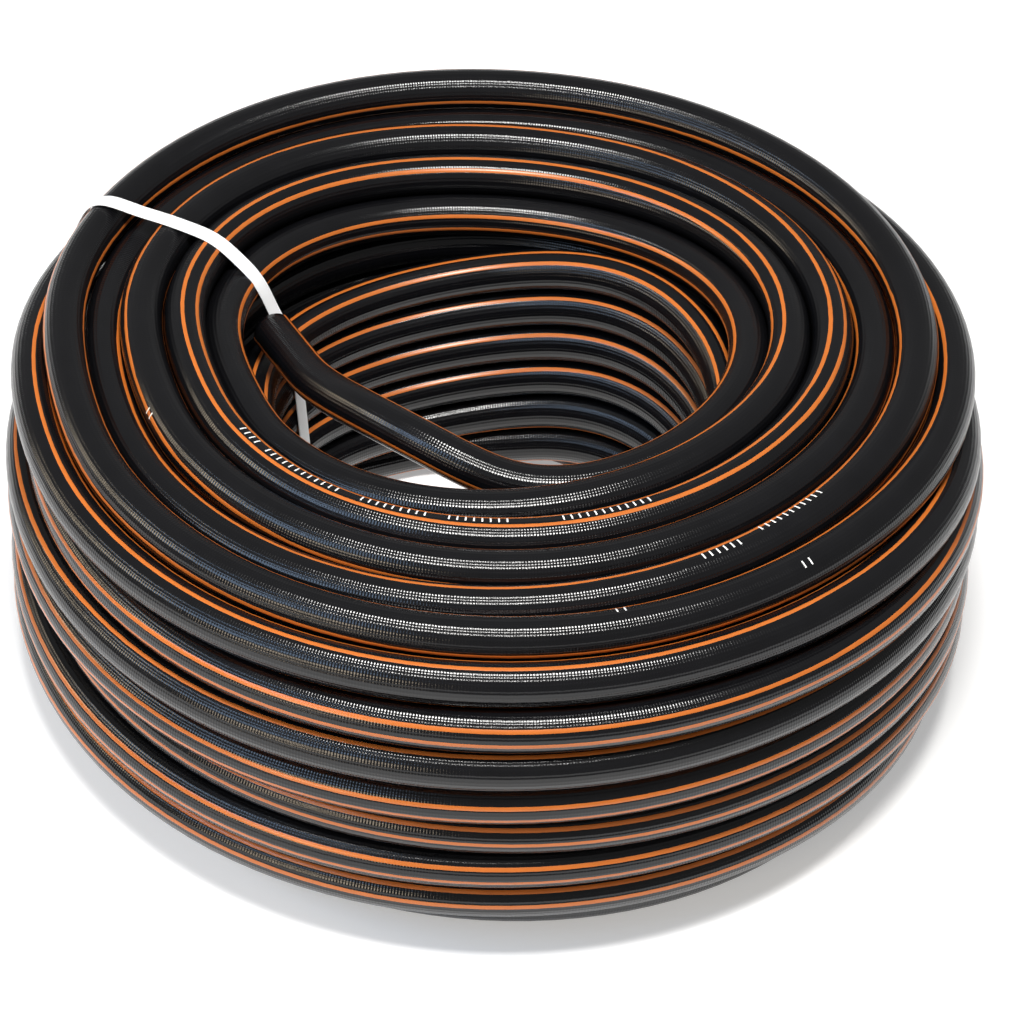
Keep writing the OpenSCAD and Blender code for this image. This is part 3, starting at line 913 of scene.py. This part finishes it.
class HOSE_OT_strap(bpy.types.Operator):
    """Draws the strap tight round the turns, its ends lapped and welded on the outside"""

    bl_idname = "hose.strap"
    bl_label = "Strap"

    def execute(self, context):
        w = winding()
        strap = w.strap
        line, at = strap_line(w)
        outward = outward_of(line)
        radial = np.array([cosd(strap.azimuth), sind(strap.azimuth), 0])
        across = np.array([-sind(strap.azimuth), cosd(strap.azimuth), 0])
        half_w, t, e = strap.width / 2, strap.thick, 0.25
        profile = [(-half_w + e, 0), (half_w - e, 0), (half_w, e), (half_w, t - e), (half_w - e, t),
                   (half_w - 1.2, t - 0.08), (-half_w + 1.2, t - 0.08), (-half_w + e, t),
                   (-half_w, t - e), (-half_w, e)]
        verts, faces, uvs = [], [], []
        n, m = len(line), len(profile)

        def add_ring(i, raised, share):
            for x, h in profile:
                p = line[i] + outward[i] * (h + raised)
                verts.append((radial * p[0] + across * x * share + np.array([0, 0, p[1]])) * MM)
                uvs.append((x * MM, at[i] * MM))

        for i in range(n):
            add_ring(i, 0, 1)
            for j in range(m):
                a, b = i * m + j, i * m + (j + 1) % m
                c, d = ((i + 1) % n) * m + j, ((i + 1) % n) * m + (j + 1) % m
                faces.append((a, b, d, c))
        first = len(verts)
        middle = w.coil.coil_h / 2
        lap = [i for i in range(n) if outward[i][0] > 0.99 and abs(line[i][1] - middle) < strap.weld_l / 2]
        for i in lap:
            add_ring(i, t + 0.02, 0.98)
        for k in range(len(lap) - 1):
            for j in range(m):
                a, b = first + k * m + j, first + k * m + (j + 1) % m
                faces.append((a, b, b + m, a + m))
        faces.append(tuple(first + j for j in range(m))[::-1])
        faces.append(tuple(first + (len(lap) - 1) * m + j for j in range(m)))
        material = strap_material(tuple(context.scene.hose_colours.strap))
        obj = new_object("binding_strap", verts, faces, material, uvs)
        obj.data.set_sharp_from_angle(angle=math.radians(35))
        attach(obj, "root")
        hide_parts("strap")
        return {"FINISHED"}


class HOSE_OT_declare(bpy.types.Operator):
    bl_idname = "hose.declare"
    bl_label = "Cord"

    def execute(self, context):
        w = winding()
        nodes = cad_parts
        with_pieces = [STATE["stripes"], STATE["ticks"]]
        with_pieces += [nodes[f"{e}_{p}"] for e in ("lead", "tail") for p in ("braid", "liner")]
        return {"FINISHED"}


class HOSE_OT_stage(bpy.types.Operator):
    """Sets the camera, the floor and the studio light"""

    bl_idname = "hose.stage"
    bl_label = "Stage"

    def execute(self, context):
        scene = context.scene
        colours = scene.hose_colours
        data = bpy.data.cameras.new("camera")
        data.lens = LENS
        data.sensor_width = SENSOR
        data.shift_x, data.shift_y = SHIFT
        camera = bpy.data.objects.new("camera", data)
        scene.collection.objects.link(camera)
        aim = Vector(AIM)
        camera.location = aim + REACH * Vector((0, -cosd(ELEVATION), sind(ELEVATION)))
        turn = (aim - camera.location).to_track_quat("-Z", "Y").to_matrix().to_4x4()
        camera.matrix_world = (Matrix.Translation(camera.location) @ turn
                               @ Matrix.Rotation(math.radians(ROLL), 4, "Z"))
        scene.camera = camera

        floor_n = Nodes("pale_floor")
        diffuse = floor_n.add("ShaderNodeBsdfDiffuse")
        diffuse.inputs["Color"].default_value = (*colours.floor, 1)
        glow = floor_n.add("ShaderNodeEmission")
        path = floor_n.add("ShaderNodeLightPath")
        total = floor_n.add("ShaderNodeAddShader")
        seen = floor_n.math("ADD", path.outputs["Is Camera Ray"], path.outputs["Is Glossy Ray"])
        seen = floor_n.math("MINIMUM", floor_n.math("ADD", seen, path.outputs["Is Transmission Ray"]), 1)
        floor_n.link(floor_n.math("MULTIPLY", seen, FLOOR_GLOW), glow.inputs["Strength"])
        floor_n.link(diffuse.outputs[0], total.inputs[0])
        floor_n.link(glow.outputs[0], total.inputs[1])
        floor_n.link(total.outputs[0], floor_n.out.inputs[0])
        s, z = FLOOR_HALF, FLOOR_Z
        floor = new_object("floor", [(-s, -s, z), (s, -s, z), (s, s, z), (-s, s, z)],
                           [(0, 1, 2, 3)], floor_n.material, smooth=False)

        for name, size, size_y, power, colour, place in LAMPS:
            light = bpy.data.lights.new(name, "AREA")
            light.shape = "RECTANGLE"
            light.size, light.size_y = size, size_y
            light.energy = power
            light.color = colour
            obj = bpy.data.objects.new(name, light)
            obj.location = place
            obj.rotation_euler = (Vector((0, 0, 0.1)) - Vector(place)).to_track_quat("-Z", "Y").to_euler()
            scene.collection.objects.link(obj)

        world = bpy.data.worlds.new("studio")
        scene.world = world
        world.use_nodes = True
        tree = world.node_tree
        tree.nodes.clear()
        out = tree.nodes.new("ShaderNodeOutputWorld")
        back = tree.nodes.new("ShaderNodeBackground")
        back.inputs["Strength"].default_value = WORLD_LEVEL
        tree.links.new(back.outputs[0], out.inputs[0])
        scene.view_settings.view_transform = "Standard"
        return {"FINISHED"}


class HOSE_PT_panel(bpy.types.Panel):
    """Sizes, colours and pieces of the coil"""

    bl_label = "Coiled hose"
    bl_idname = "HOSE_PT_panel"
    bl_space_type = "VIEW_3D"
    bl_region_type = "UI"
    bl_category = "Hose"

    def draw(self, context):
        scene = context.scene
        for title, group in (("Hose", scene.hose_sizes), ("Coil", scene.coil_sizes),
                             ("Strap", scene.strap_sizes), ("Colours", scene.hose_colours)):
            box = self.layout.box()
            box.label(text=title)
            for key in group.__annotations__:
                box.prop(group, key)
        for operator in OPERATORS:
            self.layout.operator(operator.bl_idname)


GROUPS = (("hose_sizes", HoseSizes), ("coil_sizes", CoilSizes), ("strap_sizes", StrapSizes),
          ("hose_colours", HoseColours))
OPERATORS = (HOSE_OT_stage, HOSE_OT_jacket, HOSE_OT_stripes, HOSE_OT_ticks, HOSE_OT_declare, HOSE_OT_ends,
             HOSE_OT_strap)


def register():
    for name, group in GROUPS:
        bpy.utils.register_class(group)
        setattr(bpy.types.Scene, name, bpy.props.PointerProperty(type=group))
    for operator in OPERATORS:
        bpy.utils.register_class(operator)
    bpy.utils.register_class(HOSE_PT_panel)


def unregister():
    bpy.utils.unregister_class(HOSE_PT_panel)
    for operator in reversed(OPERATORS):
        bpy.utils.unregister_class(operator)
    for name, group in reversed(GROUPS):
        delattr(bpy.types.Scene, name)
        bpy.utils.unregister_class(group)


def main():
    register()
    for operator in OPERATORS:
        group, name = operator.bl_idname.split(".")
        getattr(getattr(bpy.ops, group), name)()


if __name__ == "__main__":
    main()
